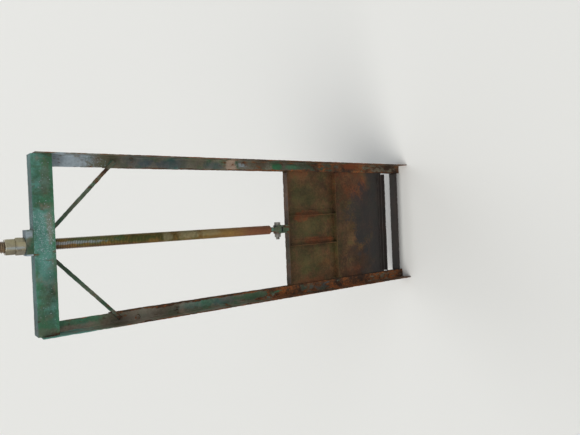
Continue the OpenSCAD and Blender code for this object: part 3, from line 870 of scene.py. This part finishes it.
class GATE_OT_wall_bars(Operator):
    """Weather the seat bars, guide bars, sill angle and head bar"""
    bl_idname = "gate.wall_bars"
    bl_label = "Wall bars"

    def execute(self, context):
        cell = context.scene.gate_detail.bar_cell
        for node in ("left_seat_bar", "right_seat_bar", "left_guide_bar", "right_guide_bar"):
            weathered(node, "frame", "frame_rust", cell)
        for node in ("sill_angle", "head_bar"):
            weathered(node, "frame", "frame_rust", cell, axes="YZX")
        return {"FINISHED"}


class GATE_OT_yoke(Operator):
    """Weather the yoke channel, its braces and the bearing block"""
    bl_idname = "gate.yoke"
    bl_label = "Yoke"

    def execute(self, context):
        detail = context.scene.gate_detail
        weathered("yoke", "frame", "yoke_paint", detail.yoke_cell, axes="YZX", pitting=0.5, nibble=0.4)
        for side in ("left", "right"):
            weathered(f"{side}_brace", "frame", "brace_paint", detail.yoke_cell, axes="XZ")
        weathered("bearing_block", "frame", "fitting_paint", detail.small_cell, pitting=0.4, nibble=0.4,
                  arris=1.5)
        return {"FINISHED"}


class GATE_OT_nuts(Operator):
    """Ease and age the two stem nuts"""
    bl_idname = "gate.nuts"
    bl_label = "Stem nuts"

    def execute(self, context):
        cell = context.scene.gate_detail.small_cell
        for node in ("lower_nut", "upper_nut"):
            weathered(node, "nuts", "nut_bronze", cell, pitting=0.2, nibble=0.5, arris=1.2)
        return {"FINISHED"}


class GATE_OT_leaf(Operator):
    """Weather the leaf plate and its stiffening angles"""
    bl_idname = "gate.leaf"
    bl_label = "Leaf"

    def execute(self, context):
        detail = context.scene.gate_detail
        weathered("leaf_plate", "leaf", "leaf_rust", detail.plate_cell, pitting=1.4)
        for node in ("leaf_top_angle", "leaf_bottom_angle", "cross_rib"):
            weathered(node, "leaf", "leaf_rust", detail.yoke_cell, axes="YZX")
        for node in ("left_rib", "right_rib"):
            weathered(node, "leaf", "leaf_rust", detail.yoke_cell)
        return {"FINISHED"}


class GATE_OT_lug(Operator):
    """Finish the lugs, their bolt, nut and washers, and the stem's eye"""
    bl_idname = "gate.lug"
    bl_label = "Lug and bolt"

    def execute(self, context):
        cell = context.scene.gate_detail.small_cell
        for node in ("left_lug", "right_lug", "lug_block", "stem_eye"):
            weathered(node, "leaf", "fitting_paint", cell, pitting=0.5, nibble=0.4)
        for node in ("lug_nut", "left_washer", "right_washer"):
            weathered(node, "leaf", "bolt_zinc", cell, pitting=0.15, nibble=0.2, arris=0.5)
        self.bolt(context)
        return {"FINISHED"}

    def bolt(self, context):
        """The bolt keeps its head and shank and gets a thread on its free end."""
        detail = context.scene.gate_detail
        low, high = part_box("lug_bolt")
        nut_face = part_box("lug_nut")[0].x
        middle = Vector((0, (low.y + high.y) / 2, (low.z + high.z) / 2))
        bm = weathered_mesh("lug_bolt", detail.small_cell, axes="X", pitting=0.15, nibble=0.2, arris=0.5)
        end_r = max(math.hypot(v.co.y - middle.y, v.co.z - middle.z)
                    for v in bm.verts if v.co.x < nut_face - 0.004)
        root = end_r - detail.bolt_pitch * 0.6
        for v in bm.verts:
            if v.co.x < nut_face - 0.0005:
                for axis in (1, 2):
                    v.co[axis] = middle[axis] + (v.co[axis] - middle[axis]) * root / end_r
        ridge = bmesh.new()
        add_ridge(ridge, 0, nut_face - low.x - 0.0006, end_r, root, detail.bolt_pitch)
        flat_masks(ridge, 0.3)
        place = Matrix.Translation((nut_face - 0.0003, middle.y, middle.z))
        bmesh.ops.transform(ridge, matrix=place @ Matrix.Rotation(-math.pi / 2, 4, "Y"), verts=ridge.verts)
        join(bm, ridge)
        add_piece("lug_bolt_piece", bm, "leaf", "bolt_zinc", ["lug_bolt"])


class GATE_OT_stem(Operator):
    """Build the stem: a plain rod below and a real screw thread above"""
    bl_idname = "gate.stem"
    bl_label = "Stem"

    def execute(self, context):
        detail = context.scene.gate_detail
        bottom, top, start = STEM_LOW.z, STEM_HIGH.z, detail.thread_from
        outer, root = STEM_R - 0.00005, STEM_R - detail.thread_depth
        bm = bmesh.new()
        add_turned(bm, [(0, bottom), (outer - 0.001, bottom), (outer, bottom + 0.001), (outer, start),
                        (root, start + 0.004), (root, top - 0.003), (root - 0.002, top), (0, top)], 40)
        slice_along(bm, 2, 0.005)
        turn_faces_out(bm)
        bm.normal_update()
        moves = []
        for v in bm.verts:
            if v.co.z < start and math.hypot(v.co.x, v.co.y) > outer * 0.9:
                pit = smooth(0.0, 0.5, noise.fractal(v.co * 24, 0.7, 2.1, 4))
                moves.append((v, v.normal * (detail.pitting * 0.6 * pit)))
        for v, move in moves:
            v.co -= move
        add_ridge(bm, start, top - 0.001, outer, root, detail.thread_pitch)
        bmesh.ops.translate(bm, vec=(0, STEM_Y, 0), verts=bm.verts)
        turn_faces_out(bm)
        flat_masks(bm)
        add_piece("stem_piece", bm, "leaf", "greased_screw", ["stem"])
        return {"FINISHED"}


class GATE_OT_welds(Operator):
    """Lay the weld beads of the frame and of the leaf"""
    bl_idname = "gate.welds"
    bl_label = "Welds"

    def execute(self, context):
        radius = context.scene.gate_detail.bead
        self.yoke_welds(radius)
        self.brace_welds(radius)
        self.bar_welds(radius)
        self.leaf_welds(radius)
        return {"FINISHED"}

    def yoke_welds(self, radius):
        """Beads down the yoke's ends and along its underside on the rails' face legs."""
        front, under, end = YOKE_LOW.y - 0.001, YOKE_LOW.z, YOKE_HIGH.x
        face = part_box("right_brace")[1].y - 0.001
        lines = [((end - 0.001, front, under + 0.004), (end - 0.001, front, RAIL_HIGH.z - 0.002)),
                 ((RAIL_LOW.x + 0.004, face, under), (end - 0.008, face, under))]
        add_beads("yoke_end_welds", "frame", both_sides(lines), radius * 1.15)

    def brace_welds(self, radius):
        """Beads round the braces' feet and under the yoke."""
        under = YOKE_LOW.z
        low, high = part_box("right_brace")
        points = frame["nodes"]["right_brace"].data.vertices
        corners = [Vector(v.co) for v in points if v.co.y > high.y - 0.001]
        tops = [c for c in corners if c.z > under - 0.001]
        heel = (min(corners, key=lambda c: c.z) + max(corners, key=lambda c: c.x)) / 2
        slope = (sum(tops, Vector()) / len(tops) - heel).normalized()
        square = Vector((-slope.z, 0, slope.x)) * 0.008
        toes = [heel + square * s - Vector((0, 0.001, 0)) for s in (-1, 1)]
        lines = [(toes[0], toes[1])] + [(toe, toe + slope * 0.028) for toe in toes]
        left, right = (pick(c.x for c in tops) for pick in (min, max))
        seam = low.y + 0.001, under - 0.001
        lines.append(((left + 0.002, *seam), (right - 0.002, *seam)))
        add_beads("brace_welds", "frame", both_sides(lines), radius * 0.8)

    def bar_welds(self, radius):
        """Beads round the bearing block, along the seat and guide bars and at the wall bars' ends."""
        low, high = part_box("bearing_block")
        corners = [(low.x, low.y), (high.x, low.y), (high.x, high.y), (low.x, high.y)]
        rim = [((*a, low.z), (*b, low.z)) for a, b in zip(corners, corners[1:] + corners[:1])]
        add_beads("block_welds", "frame", rim, radius * 0.9)

        seat_low, seat_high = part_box("right_seat_bar")
        guide_low, guide_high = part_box("right_guide_bar")
        side = seat_high.x - radius * 0.5
        lines = []
        for y, short, count in ((guide_high.y, 0, 6), (guide_low.y, 0.15, 5)):
            lines += stitches((side, y, seat_low.z + short), (side, y, seat_high.z - short), count, 0.035)
        add_beads("rail_stitches", "frame", both_sides(lines), radius * 0.42)

        lines = []
        for node, short in (("sill_angle", 0.012), ("head_bar", 0.004)):
            low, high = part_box(node)
            lines.append(((high.x, seat_low.y, low.z + 0.004), (high.x, seat_low.y, high.z - short)))
        add_beads("wall_bar_welds", "frame", both_sides(lines), radius * 0.8)

    def leaf_welds(self, radius):
        """Stitches along the leaf's angles, and beads at the lugs' feet and under the stem's end."""
        front = LEAF_LOW.y
        lines = []
        for node, edge in (("leaf_top_angle", 0), ("cross_rib", 0), ("leaf_bottom_angle", 1)):
            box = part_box(node)
            level = box[edge].z
            lines += stitches((box[0].x, front, level), (box[1].x, front, level), 5, 0.04)
        for node in ("left_rib", "right_rib"):
            low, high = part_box(node)
            for x in (low.x, high.x):
                lines += stitches((x, front, low.z), (x, front, high.z - 0.03), 3, 0.035)
        add_beads("leaf_stitches", "leaf", lines, radius * 0.8, "leaf_rust")

        high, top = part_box("right_lug")[1], LEAF_HIGH.z
        line = (high.x, high.y - 0.002, top), (high.x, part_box("leaf_top_angle")[0].y + 0.003, top)
        add_beads("lug_welds", "leaf", both_sides([line]), radius * 0.9, "fitting_paint")

        low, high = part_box("stem_eye")
        line = (high.x, low.y + 0.004, high.z), (high.x, high.y - 0.004, high.z)
        add_beads("eye_welds", "leaf", both_sides([line]), radius * 0.8, "fitting_paint")


class GATE_OT_anchors(Operator):
    """Set flush anchor screws into the rails' holes"""
    bl_idname = "gate.anchors"
    bl_label = "Anchor screws"

    def execute(self, context):
        mount = next(m for m in frame["record"]["mounts"] if m["name"] == "anchors_outer")
        half_x = mount["dims"]["spacing_x_mm"] / 2000
        half_z = mount["dims"]["spacing_y_mm"] / 2000
        shank = mount["dims"]["hole_r_mm"] / 1000 - 0.001
        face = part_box("right_brace")[1].y
        for side, x in (("left", -half_x), ("right", half_x)):
            bm = bmesh.new()
            for z in (-half_z, 0, half_z):
                self.screw(bm, Vector((x, face, mount["pos_m"][2] + z)), shank)
            turn_faces_out(bm)
            flat_masks(bm, 0.25, 0.5)
            add_piece(f"{side}_anchor_screws", bm, "frame", f"{side}_rail_paint")
        return {"FINISHED"}

    def screw(self, bm, place, shank):
        """One screw: a low round head with a socket, and a shank that ends just short of the wall."""
        head, rise, under_head = 0.008, 0.0006, 0.0012
        socket, socket_floor = 0.003, 0.0025
        end = -place.y - 0.0002
        made = bmesh.new()
        add_turned(made, [(0, socket_floor), (socket - 0.0002, socket_floor), (socket, -rise),
                          (head - 0.0008, -rise), (head, -rise + 0.0004), (head, under_head),
                          (shank, 0.004), (shank, end), (0, end)], 24)
        matrix = Matrix.Translation(place) @ Matrix.Rotation(-math.pi / 2, 4, "X")
        bmesh.ops.transform(made, matrix=matrix, verts=made.verts)
        join(bm, made)


class GATE_OT_stage(Operator):
    """Lay the floor and set the camera, the lamps and the sky"""
    bl_idname = "gate.stage"
    bl_label = "Stage"

    def execute(self, context):
        studio = context.scene.gate_studio
        self.floor(context, studio)
        self.camera(context, studio)
        for name, place, strength, tint in (
                ("key_lamp", (-2.4, -2.6, 4.0), studio.key, (1.0, 0.985, 0.95)),
                ("fill_lamp", (2.8, -2.8, 1.6), studio.fill, (0.86, 0.93, 1.0)),
                ("back_lamp", (1.6, 3.2, 1.8), studio.back, (0.95, 0.98, 1.0))):
            self.lamp(name, place, strength, tint, studio.softness)
        self.sky(context, studio)
        context.scene.view_settings.view_transform = "Standard"
        return {"FINISHED"}

    def floor(self, context, studio):
        """A wide pale floor just under the rails' feet."""
        bm = bmesh.new()
        bmesh.ops.create_grid(bm, x_segments=1, y_segments=1, size=studio.floor_size / 2)
        bmesh.ops.translate(bm, vec=(0, 0, RAIL_LOW.z - 0.0005), verts=bm.verts)
        mesh = mesh_of("studio_floor", bm)
        material, _, shader, _ = new_finish("studio_floor")
        shader.inputs["Base Color"].default_value = linear(context.scene.gate_colours.floor)
        shader.inputs["Roughness"].default_value = 0.9
        mesh.materials.append(material)
        add_object("studio_floor", mesh)

    def camera(self, context, studio):
        """The camera is turned a quarter, so its right is the gate's down."""
        data = bpy.data.cameras.new("camera")
        data.sensor_fit, data.sensor_width, data.lens = "HORIZONTAL", 36, studio.lens
        data.clip_start, data.clip_end = 0.05, 200
        turn = Matrix.Rotation(studio.yaw, 3, "Z")
        right = Vector((1, 0, 0))
        ahead = Vector((0, math.cos(studio.pitch), -math.sin(studio.pitch)))
        above = Vector((0, math.sin(studio.pitch), math.cos(studio.pitch)))
        leaned_right = turn @ (right * math.cos(studio.roll) + above * math.sin(studio.roll))
        leaned_up = turn @ (above * math.cos(studio.roll) - right * math.sin(studio.roll))
        back = -(turn @ ahead)
        axes = Matrix((-leaned_up, leaned_right, back)).transposed().to_4x4()
        camera = add_object("camera", data)
        camera.matrix_world = Matrix.Translation(studio.camera_place) @ axes
        context.scene.camera = camera

    def lamp(self, name, place, strength, tint, softness):
        """A wide, far lamp that shines from its place towards the origin, evenly over the floor."""
        data = bpy.data.lights.new(name, "SUN")
        data.energy, data.color, data.angle = strength, tint, softness
        lamp = add_object(name, data)
        lamp.location = place
        lamp.rotation_euler = Vector(place).to_track_quat("Z", "Y").to_euler()

    def sky(self, context, studio):
        """Even light from all round. The camera, gloss and glass see the backdrop's colour instead."""
        world = bpy.data.worlds.new("studio_sky")
        world.use_nodes = True
        context.scene.world = world
        w = Wiring(world.node_tree)
        light = world.node_tree.nodes["Background"]
        light.inputs["Color"].default_value = (0.93, 0.96, 1.0, 1)
        light.inputs["Strength"].default_value = studio.sky
        seen = w.node("ShaderNodeBackground")
        seen.inputs["Color"].default_value = linear(context.scene.gate_colours.backdrop)
        rays = w.node("ShaderNodeLightPath").outputs
        shown = w.sum("MAXIMUM", rays["Is Camera Ray"], rays["Is Transmission Ray"])
        shown = w.sum("MAXIMUM", shown, rays["Is Glossy Ray"])
        pick = w.node("ShaderNodeMixShader")
        for socket, value in zip(pick.inputs, (shown, light.outputs[0], seen.outputs[0])):
            w.feed(socket, value)
        w.feed(world.node_tree.nodes["World Output"].inputs["Surface"], pick.outputs[0])


OPERATORS = (GATE_OT_stage, GATE_OT_rails, GATE_OT_wall_bars, GATE_OT_yoke, GATE_OT_nuts, GATE_OT_leaf,
             GATE_OT_lug, GATE_OT_stem, GATE_OT_welds, GATE_OT_anchors)
GROUPS = {"gate_colours": GateColours, "gate_detail": GateDetail, "gate_studio": GateStudio}


class GATE_PT_looks(Panel):
    """Lists the gate's builders and their settings"""
    bl_idname = "GATE_PT_looks"
    bl_label = "Sluice gate"
    bl_space_type = "VIEW_3D"
    bl_region_type = "UI"
    bl_category = "Sluice gate"

    def draw(self, context):
        for operator in OPERATORS:
            self.layout.operator(operator.bl_idname)
        for name, group in GROUPS.items():
            box = self.layout.box()
            for setting in group.__annotations__:
                box.prop(getattr(context.scene, name), setting)


def register():
    """Registers the settings, the builders and the panel."""
    for name, group in GROUPS.items():
        bpy.utils.register_class(group)
        setattr(bpy.types.Scene, name, PointerProperty(type=group))
    for kind in (*OPERATORS, GATE_PT_looks):
        bpy.utils.register_class(kind)


def unregister():
    """Takes the panel, the builders and the settings away again."""
    for kind in (GATE_PT_looks, *reversed(OPERATORS)):
        bpy.utils.unregister_class(kind)
    for name, group in GROUPS.items():
        delattr(bpy.types.Scene, name)
        bpy.utils.unregister_class(group)


def main():
    """Builds every piece in order."""
    register()
    for operator in OPERATORS:
        getattr(bpy.ops.gate, operator.bl_idname.split(".")[1])()


if __name__ == "__main__":
    main()
